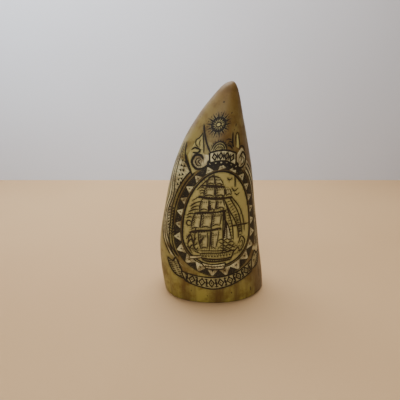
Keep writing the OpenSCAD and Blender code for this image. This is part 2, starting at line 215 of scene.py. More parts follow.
def skin(turn, z, inset=0.0):
    """Points of the tooth's skin in form millimetres; turn is 0 at the front, in radians."""
    left, right = both_sides(z)
    half_w = np.maximum((right - left) / 2 - inset, hair)
    half_d = np.maximum(half_depth(z) - inset, hair)
    n = squareness - left_squarer * np.sin(turn)
    r = ((np.abs(np.sin(turn)) / half_w)**n + (np.abs(np.cos(turn)) / half_d)**n)**(-1 / n)
    x = (left + right) / 2 + r * np.sin(turn)
    return np.stack([x, -r * np.cos(turn), z + 0 * turn], axis=-1)


# The form is fitted to the box of the casting, which was drawn with 30 sides.
box_low, box_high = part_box("resin_tooth")
probe_turn, probe_z = np.meshgrid(np.radians(np.arange(0, 360, 12)), np.linspace(foot_r, form_h - 1, 120))
probe = skin(probe_turn.ravel(), probe_z.ravel())
probe_size = probe.max(0) - probe.min(0)
across = (box_high.x - box_low.x) / (probe_size[0] * MM)
deep = (box_high.y - box_low.y) / (probe_size[1] * MM)
tall = (box_high.z - box_low.z) / (form_h * MM)
slide = (box_high.x + box_low.x) / 2 / MM - across * (probe.max(0)[0] + probe.min(0)[0]) / 2
stretch = np.array([across, deep, tall])


def placed(points):
    """Form millimetres to the frame's metres."""
    return (points * stretch + [slide, 0, 0]) * MM


def outward(turn, z):
    """Unit vectors out of the skin."""
    near_turn = 0.004
    near_z = 0.2
    high = np.minimum(z + near_z, form_h - 0.01)
    along = skin(turn + near_turn, z) - skin(turn - near_turn, z)
    rise = skin(turn, high) - skin(turn, z - near_z)
    way = np.cross(along * stretch, rise * stretch)
    return way / np.linalg.norm(way, axis=-1, keepdims=True)


# --- The engraver's strokes --------------------------------------------------
# Lines and areas are drawn on the skin as [across, height] in millimetres: across runs
# round the front from its middle. Later strokes lie over earlier ones, and a spared
# area keeps its resin. A hand-cut line swells, thins and narrows at its ends.

drawn = []
hand = random.Random(11)
bleed = 0.09


def cut(piece, outlines):
    """Areas cut out and filled with that piece's pigment."""
    drawn.extend((piece, "", outline) for outline in outlines)


def strip(first, second):
    """Quads between two rows of points."""
    return [[first[i], second[i], second[i + 1], first[i + 1]] for i in range(len(first) - 1)]


def spare(tint, outlines):
    """Areas left as resin, scraped to that tint."""
    drawn.extend(("", tint, outline) for outline in outlines)


def smooth_path(points, closed=False):
    """Points about a millimetre apart on a smooth curve through the given points."""
    given = np.array(points, float)
    if len(given) == 2:
        straight_step = 1.5
        count = max(2, round(np.linalg.norm(given[1] - given[0]) / straight_step))
        return given[0] + np.linspace(0, 1, count + 1)[:, None] * (given[1] - given[0])
    before = given[-1:] if closed else 2 * given[:1] - given[1:2]
    after = given[:2] if closed else 2 * given[-1:] - given[-2:-1]
    all_points = np.concatenate([before, given, after])
    run = []
    for i in range(len(all_points) - 3):
        a, b, c, d = all_points[i:i + 4]
        count = max(1, round(np.linalg.norm(c - b)))
        run.extend(bent(a, b, c, d, t) for t in np.arange(count)[:, None] / count)
    run.append(run[0] if closed else given[-1])
    return np.array(run)


def line(piece, points, width, closed=False, ends=0.45):
    """A cut line: quads along a smooth curve, narrower at its ends."""
    run = smooth_path(points, closed)
    back = np.roll(run, 1, axis=0)
    ahead = np.roll(run, -1, axis=0)
    back[0] = run[-2] if closed else run[0]
    ahead[-1] = run[1] if closed else run[-1]
    way = ahead - back
    way /= np.linalg.norm(way, axis=1, keepdims=True)
    normal = np.stack([-way[:, 1], way[:, 0]], axis=1)
    last = len(run) - 1
    for i in range(last + 1):
        near_end = 1 if closed else min(1, ends + 0.4 * min(i, last - i))
        normal[i] *= (width / 2 + bleed) * near_end * hand.uniform(0.84, 1.16)
    if closed:
        normal[last] = normal[0]
    left = run + normal
    right = run - normal
    cut(piece, strip(left, right))


def lines(piece, *strokes):
    """Several cut lines; each stroke gives its width and then its points."""
    for width, *points in strokes:
        line(piece, points, width)


def maths(tree, operation, *values, **settings):
    """A Math node's output socket."""
    return place(tree, "ShaderNodeMath", dict(enumerate(values)), operation=operation, **settings).outputs[0]


def add_sockets(tree, in_out, kind, *names):
    for name in names:
        tree.interface.new_socket(name, in_out=in_out, socket_type="NodeSocket" + kind)


def motif_tree():
    """Geometry Nodes: small flat motifs at even steps along a path, each turned to follow it."""
    tree = bpy.data.node_groups.new("motif_row", "GeometryNodeTree")
    add_sockets(tree, "INPUT", "Geometry", "Path")
    add_sockets(tree, "INPUT", "Int", "Count", "Sides")
    add_sockets(tree, "INPUT", "Float", "Length", "Width", "Turn", "Lean")
    add_sockets(tree, "INPUT", "Material", "Material")
    add_sockets(tree, "OUTPUT", "Geometry", "Motifs")
    given = tree.nodes.new("NodeGroupInput").outputs
    curve = place(tree, "GeometryNodeMeshToCurve", {"Mesh": given["Path"]})
    steps = place(tree, "GeometryNodeResampleCurve", {"Curve": curve.outputs[0], "Count": given["Count"]},
                  mode="COUNT")
    motif = place(tree, "GeometryNodeMeshCircle", {"Vertices": given["Sides"], "Radius": 0.5},
                  fill_type="NGON")
    tangent = place(tree, "GeometryNodeInputTangent", {})
    along = place(tree, "FunctionNodeAlignRotationToVector", {"Vector": tangent.outputs[0]},
                  axis="X", pivot_axis="Z")
    index = place(tree, "GeometryNodeInputIndex", {})
    odd = maths(tree, "MODULO", index.outputs[0], 2.0)
    lean = maths(tree, "MULTIPLY_ADD", odd, given["Lean"], given["Turn"])
    turn = place(tree, "ShaderNodeCombineXYZ", {"Z": lean})
    turned = place(tree, "FunctionNodeRotateRotation",
                   {"Rotation": along.outputs[0], "Rotate By": turn.outputs[0]}, rotation_space="LOCAL")
    swell = place(tree, "GeometryNodeInputNamedAttribute", {"Name": "swell"}, data_type="FLOAT")
    size = place(tree, "ShaderNodeCombineXYZ", {"X": given["Length"], "Y": given["Width"], "Z": 1.0})
    scale = place(tree, "ShaderNodeVectorMath", {0: size.outputs[0], "Scale": swell.outputs[0]},
                  operation="SCALE")
    row_of = place(tree, "GeometryNodeInstanceOnPoints",
                   {"Points": steps.outputs[0], "Instance": motif.outputs[0],
                    "Rotation": turned.outputs[0], "Scale": scale.outputs[0]})
    real = place(tree, "GeometryNodeRealizeInstances", {"Geometry": row_of.outputs[0]})
    painted = place(tree, "GeometryNodeSetMaterial",
                    {"Geometry": real.outputs[0], "Material": given["Material"]})
    place(tree, "NodeGroupOutput", {"Motifs": painted.outputs[0]})
    return tree


motif_row = motif_tree()
motif_inputs = {s.name: s.identifier for s in motif_row.interface.items_tree if s.in_out == "INPUT"}


def row(path, count, sides, length, width, turn=0.0, lean=0.0, swell=None):
    """Outlines of a row of motifs: 3 sides make triangles and 4 make lozenges or long cuts."""
    mesh = bpy.data.meshes.new("row_path")
    points = [(p[0], p[1], 0) for p in path]
    mesh.from_pydata(points, [(i, i + 1) for i in range(len(points) - 1)], [])
    sizes = mesh.attributes.new("swell", "FLOAT", "POINT")
    sizes.data.foreach_set("value", swell or [1.0] * len(points))
    guide = bpy.data.objects.new("row_path", mesh)
    bpy.context.scene.collection.objects.link(guide)
    modifier = guide.modifiers.new("motifs", "NODES")
    modifier.node_group = motif_row
    values = {"Count": count, "Sides": sides, "Length": float(length), "Width": float(width),
              "Turn": math.radians(turn), "Lean": math.radians(lean)}
    for name, value in values.items():
        modifier[motif_inputs[name]] = value
    bpy.context.view_layer.update()
    made = bpy.data.meshes.new_from_object(guide.evaluated_get(bpy.context.evaluated_depsgraph_get()))
    outlines = [[np.array(made.vertices[v].co[:2]) for v in face.vertices] for face in made.polygons]
    bpy.data.objects.remove(guide)
    bpy.data.meshes.remove(mesh)
    bpy.data.meshes.remove(made)
    return outlines


def cuts(piece, path, count, length, width, turn=0.0, lean=0.0):
    """A row of short cuts or lozenges along a path."""
    cut(piece, row(path, count, 4, length, width, turn, lean))


def shrunk(outlines, share):
    """The same outlines drawn in towards their middles."""
    result = []
    for outline in outlines:
        points = np.array(outline)
        result.append(points.mean(0) + (points - points.mean(0)) * share)
    return result


fine = 0.45

# --- Oval frame and the band of triangles ------------------------------------
# A bold line rings the ship. Outside it a stippled dark band is cut away around pale
# triangles, each with a small dark one in its middle; the band is wider at the bottom.

oval_centre = np.array([4.3, 47])
oval_half_w = 19.6
oval_above = 33.0
oval_below = 21.7
band_in = 0.9
band_out = 4.1
band_drop = 2.2


def oval(angle, out=0.0):
    """Point of the oval at an angle in degrees from its right, moved out by a distance."""
    a = math.radians(angle)
    rise = math.sin(a)
    high = oval_below if rise < 0 else oval_above
    full = 1 + 0.06 * math.sin(-2 * a) * math.copysign(1, math.cos(a)) if rise < 0 else 1
    away = np.array([math.cos(a) / oval_half_w, rise / high])
    away /= np.linalg.norm(away)
    return oval_centre + [oval_half_w * full * math.cos(a), high * rise] + away * out


def band_edge(angle):
    return band_out + band_drop * max(0, -math.sin(math.radians(angle)))


spare("golden", [[oval(a) for a in range(0, 360, 6)]])
cut("sawtooth_band", strip([oval(a, band_in) for a in range(0, 361, 3)],
                           [oval(a, band_edge(a)) for a in range(0, 361, 3)]))
teeth = 24
tooth_path = [oval(a, (band_in + band_edge(a)) / 2 - 0.25) for a in range(90, 451, 3)]
tooth_swell = [(band_edge(a) - band_in) / (band_out - band_in) for a in range(90, 451, 3)]
triangles = row(tooth_path, teeth, 3, 4.6, 5.3, turn=-90, swell=tooth_swell)[:-1]
spare("pale", triangles)
cut("sawtooth_dots", shrunk(triangles, 0.2))
line("oval_ring", [oval(a) for a in range(0, 360, 10)], 0.8, closed=True)
line("oval_ring", [oval(a, band_edge(a) + 0.3) for a in range(0, 360, 10)], 0.3, closed=True)

# --- Flanks ------------------------------------------------------------------
# Parallel rules follow the band on both sides. Down the left flank runs a panel of
# triangular dots that turns into a woven strip, inside a border of three long rules.

panel_edge = [[-20.3, 87], [-21.7, 76], [-21.6, 65], [-25, 56], [-25.6, 48], [-23.8, 39], [-18.6, 30]]
rule_gap = 1.5


def beside_band(angle, row_of):
    return oval(angle, band_edge(angle) + 1.1 + rule_gap * row_of)


def spare_between(tint, first_edge, second_edge, steps):
    """Spares the area between two smooth edges."""
    spare(tint, strip(*([path[round(i * (len(path) - 1) / steps)] for i in range(steps + 1)]
                        for path in (smooth_path(first_edge), smooth_path(second_edge)))))


spare_between("flank", [[p[0] - 3.6, p[1]] for p in panel_edge],
              [beside_band(a, 1.6) for a in range(118, 232, 8)], 40)
spare("flank", strip([beside_band(a, 0) for a in range(-36, 69, 8)],
                     [beside_band(a, 3.6) for a in range(-36, 69, 8)]))

for step_out, width in ((0.35, 0.6), (1.65, 0.65)):
    line("rules_left", [beside_band(a, step_out) for a in range(122, 226, 8)], width)
for step_out, width in ((0, 0.6), (2.1, 0.6), (4.3, 0.7)):
    line("rules_left", [[p[0] - step_out, p[1]] for p in panel_edge], width)
for step_out, width in ((0.2, 0.6), (1.5, 0.7), (2.9, 0.7)):
    line("rules_right", [beside_band(a, step_out) for a in range(60, -34, -10)], width)
cut("rules_right", row([beside_band(a, 4.3) for a in range(52, -40, -4)], 24, 3, 1.8, 1.6, turn=90, lean=60))

lines("panel_line",
      (0.8, [-17.2, 94.4], [-16.8, 89], [-15.4, 84.6], [-13.2, 80.6], [-10.9, 77.2]),
      (0.5, [-15.9, 88], [-14.6, 84.6], [-12.6, 81.2], [-11, 79.2]),
      (0.5, [-19.9, 94.1], [-20.6, 90], [-20.6, 86.6]))
cuts("panel_line", [[-19.2, 93], [-18.6, 86.4]], 6, 1.5, 0.5, turn=70)

for x, z, low_x, low_z in ((-15.9, 84.2, -17.5, 72.6), (-17.8, 84.6, -19.4, 71.4)):
    cut("flank_dots", row([[x, z], [low_x, low_z]], 6, 3, 2.1, 1.9, turn=30, lean=60))
weave = [[-24.1, 57.4], [-24.6, 52], [-24.3, 47], [-23.2, 42.2]]
for offset, lean in ((0.3, 44), (1.7, -44), (3.1, 44)):
    weft = [[p[0] + offset, p[1]] for p in weave]
    cuts("woven_band", weft, 10, 2.1, 0.95, turn=-lean)
line("woven_band", [[p[0] + 4.1, p[1]] for p in weave], 0.45)

# --- Sunburst ----------------------------------------------------------------
# Long and short rays are cut around a small ringed disc, below the plain tip.

sun_centre = np.array([-0.7, 104.6])


def around(centre, wide, high, start=0, end=360, step=15):
    """Points of an arc of an ellipse."""
    angles = [math.radians(a) for a in np.arange(start, end + 0.1, step)]
    return [[centre[0] + wide * math.cos(a), centre[1] + high * math.sin(a)] for a in angles]


spare("golden", [around(sun_centre, 4.6, 4.6, 0, 345)])
line("sunburst", around(sun_centre, 1.3, 1.2, 0, 345), 0.55, closed=True)
cut("sunburst", row(around(sun_centre, 3.9, 3.9), 15, 4, 5.8, 1.1, turn=90)[:-1])
cut("sunburst", row(around(sun_centre, 3.6, 3.6, 13, 373), 15, 4, 3.0, 0.8, turn=84)[:-1])
cut("sunburst", row(around(sun_centre, 6.0, 6.0, 13, 373), 15, 3, 0.8, 0.6, turn=90)[:-1])
# Painted highlight: this small golden spot, set low and left in the ringed disc, stands for a glint of light
# on the sun's centre.
spare("golden", [around(sun_centre + [-0.3, -0.2], 0.8, 0.7, 0, 345)])

# --- Crest and pennants ------------------------------------------------------
# A ribbed shell stands on the upper ribbon with a leaf at its right. A pennant hangs
# from a leaning staff on each side of it.

spare("golden", [[[-14.8, 88], [-11.4, 78.4], [-6.6, 82], [-6, 91], [-8.2, 99.2], [-11.6, 95.6]]])
spare("golden", [[[11.6, 92.4], [13.4, 91.6], [12.6, 98.6], [11, 99]]])
shell = np.array([1.8, 90.6])
spare("golden", [around(shell, 4.2, 5.1, 0, 180, 12)])
line("crest_fan", around(shell, 4.2, 5.1, 4, 176, 12), 0.6)
line("crest_fan", around(shell, 3.2, 3.9, 6, 174, 14), fine)
cuts("crest_fan", around(shell, 2.2, 2.5, 14, 166, 12), 9, 2.1, 0.5, turn=90)
cut("crest_fan", row(around(shell, 5.0, 5.7, 40, 150, 10), 8, 3, 0.9, 0.9, turn=-90))
lines("crest_fan",
      (0.6, [6.6, 95.8], [8.4, 95.2], [10, 92.6]),
      (0.7, [6.3, 93.6], [7.8, 93.2], [9.4, 91.4]),
      (0.5, [4.9, 96.4], [6.2, 97], [8, 96.4]))
cuts("crest_fan", [[6.6, 94.8], [9.2, 92.6]], 5, 1.7, 0.5, turn=70)

lines("pennant_left",
      (0.8, [-8.6, 104.4], [-7.2, 99.6], [-5.4, 94.8], [-3, 90.1]),
      (0.5, [-8.3, 100.3], [-7.4, 96.4], [-6.7, 92.8], [-6.3, 89.7]),
      (fine, [-8.3, 100.3], [-9.4, 97.8], [-11.3, 96], [-11, 93.6], [-9.6, 92.8]),
      (fine, [-9, 96.4], [-9.3, 94.6], [-8.8, 93.2]))
lines("pennant_right",
      (0.7, [8.3, 100.3], [8.8, 96], [9.3, 93]),
      (0.5, [12, 99.6], [13, 96], [14.2, 92.5]),
      (fine, [10.2, 98.4], [10.9, 95.8], [11.4, 93.4]),
      (fine, [12, 99.6], [10.9, 100.2], [10.2, 98.4]))

# --- Upper ribbon ------------------------------------------------------------
# A short ribbon crosses the top of the band, with a curled scroll at each end and small
# swags below. Its face carries a plain row of lozenges and bars.

upper_top = [[-3.3, 89.8], [1.5, 91], [6.5, 91], [11.8, 89.3]]
upper_bottom = [[-2.6, 84.3], [2, 85.4], [7, 85.1], [12.4, 82.3]]


def ribbon_face(tint, top, bottom):
    spare_between(tint, top, bottom, 24)


def ribbon_edges(piece, top, bottom, width):
    for points in (top, bottom, [top[0], bottom[0]], [top[-1], bottom[-1]]):
        line(piece, points, width, ends=1)


def scroll(piece, points, width):
    """A curl with a second finer line inside it, as a ribbon's end turns over."""
    line(piece, points, width)
    middle = np.mean(points, axis=0)
    line(piece, [middle + (np.array(p) - middle) * 0.55 for p in points[1:-1]], fine)


ribbon_face("pale", [[-12.4, 89.8], [-8, 89.2], [-3.4, 88.6]], [[-11.6, 82.4], [-7, 81.4], [-3, 83.6]])
ribbon_face("pale", [[12.4, 88.2], [15.4, 91.4], [19, 88]], [[13, 82.6], [15.4, 81.2], [18.4, 83.2]])
scroll("upper_ribbon", [[-3.4, 83.6], [-6, 81.6], [-9.6, 81.2], [-12.2, 84.4], [-10.8, 88.2], [-7.8, 88.4],
                        [-6.2, 86.2]], 1.0)
scroll("upper_ribbon", [[13.4, 82.4], [15.2, 80.7], [18.4, 82.2], [19.2, 86.2], [16.6, 89.2],
                        [14.4, 86.4]], 1.0)
lines("upper_ribbon",
      (0.8, [-13.2, 90.8], [-11.4, 92.2], [-8.4, 91.2], [-9.6, 89.6], [-12.4, 89.6]),
      (0.8, [13.4, 91], [15, 92.6], [17.2, 91.6], [18.2, 89.4]),
      (0.5, [-7.6, 86.4], [-8.8, 85], [-7.2, 83.4]),
      (0.5, [15.2, 87.6], [16.4, 86], [15.6, 84.4]))
swags = row([[-2.4, 84.2], [2, 85], [7, 84.8], [12.4, 82.2]], 6, 10, 3.6, 4.4)
cut("upper_ribbon", swags)
spare("pale", shrunk(swags, 0.3))
ribbon_face("pale", upper_top, upper_bottom)
ribbon_edges("upper_ribbon", upper_top, upper_bottom, 0.8)
upper_line = [[-2, 87.3], [2, 88.2], [6.5, 88.1], [11.2, 86.2]]
# Lozenges stand in every other place of a row, and bars in the places between
upper_lozenges = row(upper_line, 9, 4, 5.0, 3.3, turn=90)[1::2]
cut("upper_ornament", upper_lozenges)
spare("pale", shrunk(upper_lozenges, 0.42))
cut("upper_ornament", shrunk(upper_lozenges, 0.16))
cut("upper_ornament", row(upper_line, 9, 4, 4.4, 1.1, turn=90)[2:-1:2])

# --- Lower ribbon ------------------------------------------------------------
# A long ribbon curves below the band. Its two forked tails fold back over the flanks, and
# its face carries lozenges between upright bars with a short cut across each end.

lower_top = [[-17.2, 20.6], [-8.2, 18.6], [1.7, 17.9], [12.3, 19.4], [19, 21.9], [25.6, 25.2]]
lower_bottom = [[-15.4, 14.4], [-8.8, 12], [-0.6, 10.3], [7.6, 11.6], [17, 14.6], [24.6, 17.6]]
left_tail = [[-16.4, 20.2], [-19.2, 28.4], [-21.4, 26], [-24.6, 26.8], [-21.6, 18.8], [-14.8, 15.6]]
right_tail = [[25.6, 25.4], [28.6, 29.2], [30.4, 26.8], [33.2, 27.2], [30.4, 20.4], [25.2, 18.8]]
spare("ribbon", [left_tail])
spare("ribbon", [right_tail])
line("lower_ribbon", left_tail, 0.9)
line("lower_ribbon", right_tail, 0.9)
cuts("lower_ribbon", [[-23.6, 25.4], [-20.4, 18.8]], 7, 3.0, 0.9, turn=60)
cuts("lower_ribbon", [[-20.4, 26], [-17.6, 17.6]], 8, 2.2, 0.8, turn=60)
cuts("lower_ribbon", [[31.8, 25.6], [28.6, 20]], 7, 3.2, 0.9, turn=-60)
cut("lower_ornament", row([[-18.2, 25], [-17.8, 22.6]], 2, 3, 1.4, 1.4))
cut("lower_ornament", row([[28.2, 26.4], [27.4, 23.6]], 2, 3, 1.4, 1.4))
ribbon_face("ribbon", lower_top, lower_bottom)
ribbon_edges("lower_ribbon", lower_top, lower_bottom, 0.7)
lower_line = smooth_path([(np.array(a) + b) / 2 for a, b in zip(lower_top, lower_bottom)])[2:-2]
places = 15
lower_lozenges = row(lower_line, places, 4, 6.0, 4.2, turn=90)[1::2]
cut("lower_ornament", lower_lozenges)
spare("ribbon", shrunk(lower_lozenges, 0.55))
cut("lower_ornament", shrunk(lower_lozenges, 0.2))
cut("lower_ornament", row(lower_line, places, 4, 6.0, 1.5, turn=90)[::2])
for shift in (2.2, -2.2):
    cut("lower_ornament", row([p + [0, shift] for p in lower_line], places, 4, 2.2, 1.2)[::2])

# --- Ship --------------------------------------------------------------------
# A full-rigged ship fills the oval. Its sails are outlined and shaded with short cuts, and
# the shrouds on the right carry ladder steps between them.

lines("masts_and_yards",
      (0.55, [0.2, 78.8], [1.8, 72], [2.2, 64.5], [0.6, 50], [-0.4, 35]),
      (0.6, [4.2, 74.6], [6.2, 66], [6.9, 56], [7.2, 46], [7.6, 35.4]),
      (0.45, [-4.9, 66], [-6.2, 58], [-8.2, 48], [-9.2, 37]),
      (0.7, [-2.8, 76.8], [0.8, 77.2], [3.8, 76.4]),
      (0.75, [-6.9, 71.8], [-2, 72.3], [6.6, 71.6]),
      (1.0, [-7.2, 66.2], [-2, 65], [5, 64.8], [11.4, 65.6]),
      (0.9, [-9.2, 56.6], [-3, 57.2], [2, 57], [8.2, 58.2]),
      (1.0, [-11.2, 45.6], [-6, 46.6], [0, 46.8], [5.8, 48.2]),
      (0.7, [11.1, 48.6], [17, 48.6], [23.2, 47.9]))


def sail(corners, reefs, shade):
    """A bellied sail: light cloth, three cut edges, a row of reef cuts and shading at one side."""
    top_left, top_right, foot_right, foot_left = (np.array(c, float) for c in corners)
    belly = np.array([0.35, 0])
    left = smooth_path([top_left, (top_left + foot_left) / 2 - belly, foot_left])
    right = smooth_path([top_right, (top_right + foot_right) / 2 + belly, foot_right])
    foot = [foot_left, (foot_left + foot_right) / 2 + [0, 0.9], foot_right]
    spare("sail", [[*left, *smooth_path(foot)[1:-1], *right[::-1]]])
    line("sails", left[::2], 0.5)
    line("sails", right[::2], 0.4)
    line("sails", foot, 0.5)
    high = 0.78 * top_left + 0.22 * foot_left, 0.78 * top_right + 0.22 * foot_right
    cut("sails", row(high, reefs, 4, 1.2, 0.45, turn=80)[1:-1])
    inset = (top_right - top_left) * 0.17
    shaded = [left[1] + inset, left[-2] + inset]
    cut("sails", row(shaded, shade, 4, np.linalg.norm(inset) * 2.2, 0.6, turn=68))


for corners, reefs, shade in (
        (([-2.6, 76.3], [0.3, 76.7], [0.8, 72.9], [-3.3, 72.6]), 5, 4),
        (([1.1, 76.6], [3.8, 76.1], [6.1, 72.3], [1.6, 72.7]), 5, 4),
        (([-3.7, 71.3], [0.8, 71.5], [1.2, 66.2], [-4.4, 66.1]), 6, 5),
        (([2.1, 71.4], [6.2, 71.2], [7, 66.2], [2.2, 65.9]), 6, 5),
        (([7.3, 70.9], [9.7, 70.2], [10.9, 66.6], [8.1, 66.3]), 4, 4),
        (([-5.4, 64.2], [-1.9, 64.3], [-1.8, 58.3], [-6.6, 58.1]), 5, 6),
        (([-1, 64.2], [2.3, 64.1], [2, 58.4], [-0.9, 58.3]), 5, 5),
        (([3.2, 63.9], [6.2, 64], [7.6, 59.3], [3, 58.9]), 5, 5),
        (([-9.2, 55.8], [-5.6, 56.3], [-6.4, 48], [-10.9, 46.9]), 5, 8),
        (([-4.8, 56.4], [0.4, 56.5], [-0.1, 48.3], [-5.6, 48.1]), 7, 8),
        (([1.4, 56.6], [5.6, 57.2], [5.2, 49.7], [0.6, 48.9]), 6, 7),
        (([-6.8, 45.3], [-1.7, 45.7], [-1.5, 36.2], [-5.2, 35.7]), 6, 9),
        (([0.9, 46], [4.8, 46.7], [3.1, 35.8], [0.8, 36]), 5, 8)):
    sail(corners, reefs, shade)
for folds, *yard in ((14, [-7, 65.6], [11.2, 65]), (13, [-8.9, 56.1], [8, 57.6]),
                     (12, [-11, 45.1], [5.6, 47.6]), (8, [-3, 71.5], [6.4, 71.2])):
    cut("sails", row(yard, folds, 5, 1.6, 1.3))
for x, z in ((-6.8, 70.6), (-6.9, 69.1), (-6.6, 67.6)):
    line("sails", [[x, z], [x + 1.2, z + 0.6], [x + 2.6, z]], 0.6)

spare("pale", [[[8.2, 52.4], [10.8, 47.4], [12.4, 41.2], [7.9, 41.6], [7.5, 47]]])
line("rigging", [[7.5, 57.6], [8.3, 50], [7.6, 41.8]], 0.9)
line("rigging", [[8, 53.2], [10.4, 48.2], [12.2, 41.6]], 0.5)
cuts("rigging", [[8.3, 50.6], [8.2, 42.4]], 8, 1.9, 0.6, turn=60)
cuts("rigging", [[14.2, 54.6], [17.2, 45]], 9, 2.3, 0.8, turn=64)
cut("sails", [[[-2.2, 60.4], [-0.4, 61.6], [0.2, 58.4], [-1.8, 57.6]]])
cut("sails", [[[-6.2, 40.6], [-3.2, 43.8], [-3.9, 41.6], [-5.6, 38.4]]])
lines("rigging",
      (0.55, [6.9, 64.5], [10.4, 57.6], [13.6, 52.2], [15.9, 46.4], [16.6, 41]),
      (0.55, [9.9, 65.4], [15.1, 57.1], [17.4, 50.6], [18.7, 43.4]),
      (0.55, [8.2, 61.4], [10.8, 54.4], [12.6, 48], [13.4, 40.6]),
      (0.55, [6.3, 55.9], [8.2, 51.6], [9.2, 48.2], [9.6, 41.4]))
cuts("rigging", [[9.6, 62.9], [13.6, 56], [16.4, 49.6], [17.6, 42.6]], 13, 2.7, 0.5, turn=84)
cuts("rigging", [[8.8, 58.4], [10.4, 52.4], [11.4, 47], [11.8, 41.6]], 11, 2.3, 0.45, turn=80)
lines("rigging",
      (fine, [0.2, 78.3], [-4, 74.4], [-8.4, 69.6]),
      (fine, [-7.1, 66], [-10.6, 63.4]),
      (fine, [-11, 45.4], [-12.4, 38], [-10.2, 33]),
      (fine, [11.3, 65.4], [16.6, 58.4], [19.6, 50.4], [20.4, 44.6]))

lines("ship_hull",
      (0.6, [-5.6, 33], [-1, 33.3], [4.3, 33.2], [9, 33.5], [13.8, 34.4]),
      (0.8, [-5.2, 30.2], [-1, 29.6], [4.3, 29.4], [9, 29.6], [12.6, 30.2]),
      (0.6, [-5.6, 33], [-5.4, 31.6], [-4.6, 29.6], [-2.4, 28.2]),
      (0.7, [13.8, 34.4], [12.9, 31.6], [11.6, 28.6]),
      (0.9, [-3.8, 28.7], [1, 27.9], [6, 28.2], [11.8, 28.8]))
cuts("ship_hull", [[-4.2, 28.9], [1, 28.6], [11.8, 29.4]], 16, 1.5, 0.55, turn=62)
line("ship_hull", [[-5.9, 34.6], [-1, 34.7], [5, 34.6], [10.4, 35.2]], fine)
cuts("gun_ports", [[-4.2, 31.5], [3, 31.3], [11.2, 31.8]], 10, 1.35, 1.1)
cuts("gun_ports", [[-4.6, 32.4], [3, 32.3], [11.8, 32.8]], 15, 0.7, 0.5)
lines("bowsprit",
      (0.6, [-11.8, 31], [-5, 31.9]),
      (0.6, [-11.4, 29.3], [-4.9, 30.4]),
      (0.6, [-9.4, 34.4], [-5.4, 33]),
      (fine, [-11.8, 31], [-11.4, 29.3]))
spare("pale", [[[-11.6, 30.8], [-11.3, 29.6], [-5.2, 30.6], [-5.2, 31.6]]])

# --- Sea, coast and sky ------------------------------------------------------
# Choppy water breaks at the stern, a low coast lies on the left, and cloud streaks and
# gulls are cut in single strokes.

for lift in range(5):
    wave = [[4.6 + 0.5 * lift + 1.7 * j, 41.0 - 1.7 * lift + (0.55 if (j + lift) % 2 else -0.45)]
            for j in range(6)]
    line("waves", wave, 0.55)
cuts("waves", [[5, 36.4], [10.6, 37.4], [16.8, 36]], 11, 1.8, 0.55, turn=40, lean=-70)
lines("waves",
      (0.65, [16.6, 37.8], [18.2, 41.6], [20.8, 38.4], [18.6, 33.8], [16, 33]),
      (fine, [17.8, 38], [18.8, 39.2], [19.4, 37], [18, 35.2]),
      (0.6, [13.8, 33.2], [16.2, 35.4], [17.2, 33]))
cuts("waves", [[12.8, 31.2], [18.4, 33.2]], 6, 2.0, 0.6, turn=48)
lines("coast",
      (0.6, [-13.2, 41], [-11.2, 44.2], [-9.4, 40.4], [-7.8, 42.4]),
      (0.6, [-12.6, 38.2], [-10.6, 41.4], [-8.8, 37.8], [-7.2, 39.6]),
      (0.6, [-11.8, 35.6], [-9.8, 38], [-8.2, 35.2], [-6.8, 36.6]))
cuts("coast", [[-12.6, 36.6], [-7, 34.6]], 8, 1.9, 0.55, turn=70)
cuts("coast", [[-12.8, 42.6], [-9.8, 43.8]], 5, 1.6, 0.5, turn=-60)
for x, z, end_x, end_z in ((-11.6, 60.2, -5.8, 63.4), (-11.2, 58.7, -6.8, 60.8), (-12.2, 57.0, -7.0, 58.8),
                           (-13.2, 55.0, -9.4, 56.2), (-13.4, 53.2, -10.4, 54.0)):
    line("clouds", [[x, z], [(x + end_x) / 2, (z + end_z) / 2 + 0.6], [end_x, end_z]], 0.6)
line("clouds", around([-12, 50.6], 1.3, 1.5, 20, 330, 30), 0.6)
line("clouds", [[-10.6, 51.6], [-9.4, 52.4], [-8.8, 51]], fine)
lines("gulls",
      (0.6, [12.2, 76.8], [12.7, 74], [12.8, 70.9]),
      (0.6, [10.9, 70.6], [12.7, 68.5], [14.8, 69.8]),
      (0.6, [12.9, 67.4], [14.3, 66.1], [15.8, 67.2]),
      (0.6, [8, 76], [9.2, 75], [10.6, 75.8]))

# --- Small ribbon under the ship ---------------------------------------------
# A narrow ribbon overlaps the foot of the oval, with a plain zigzag of short cuts.

scene_top = [[-5.6, 27.6], [1, 26.2], [8.6, 27]]
scene_bottom = [[-3, 23.7], [1.5, 22.9], [7.6, 23.2]]
ribbon_face("pale", scene_top, scene_bottom)
ribbon_edges("scene_ribbon", scene_top, scene_bottom, 0.6)
cuts("scene_ribbon", [[-3, 25.2], [1.5, 24.7], [7.2, 25.1]], 13, 1.5, 0.8, turn=80, lean=-50)

# --- Dark marks and pits -----------------------------------------------------
# The plain resin carries a few dark pits and small dark marks, and a short dark brown mark
# runs up from the foot on the right side.

for x, z, half_across, half_high in (
        (-0.9, 116.2, 0.55, 0.6), (5.2, 110.6, 0.4, 0.6), (9.4, 104.0, 0.45, 0.9), (8.7, 101.6, 0.3, 0.4),
        (-12.4, 108.0, 0.3, 0.4), (-18.9, 28.0, 0.4, 0.4), (-13.0, 8.4, 0.3, 0.5), (30.9, 14.6, 0.6, 4.2),
        (10.4, 7.2, 0.4, 0.7), (-4.2, 5.6, 0.35, 0.5), (22.6, 6.4, 0.5, 1.6)):
    spare("dark_mark", [around([x, z], half_across, half_high, 0, 330, 30)])

# --- Pigments ----------------------------------------------------------------
# Brown-black ink is rubbed into every line. It is thinner and warmer in the ship, and grey
# with stippled bare specks in the broad ground behind the triangles.


def rise_between(tree, value, low, high, to_low=0.0, to_high=1.0):
    """Runs from to_low to to_high as the value goes from low to high."""
    node = place(tree, "ShaderNodeMapRange", {"Value": value, "From Min": low, "From Max": high,
                                              "To Min": to_low, "To Max": to_high})
    return node.outputs[0]


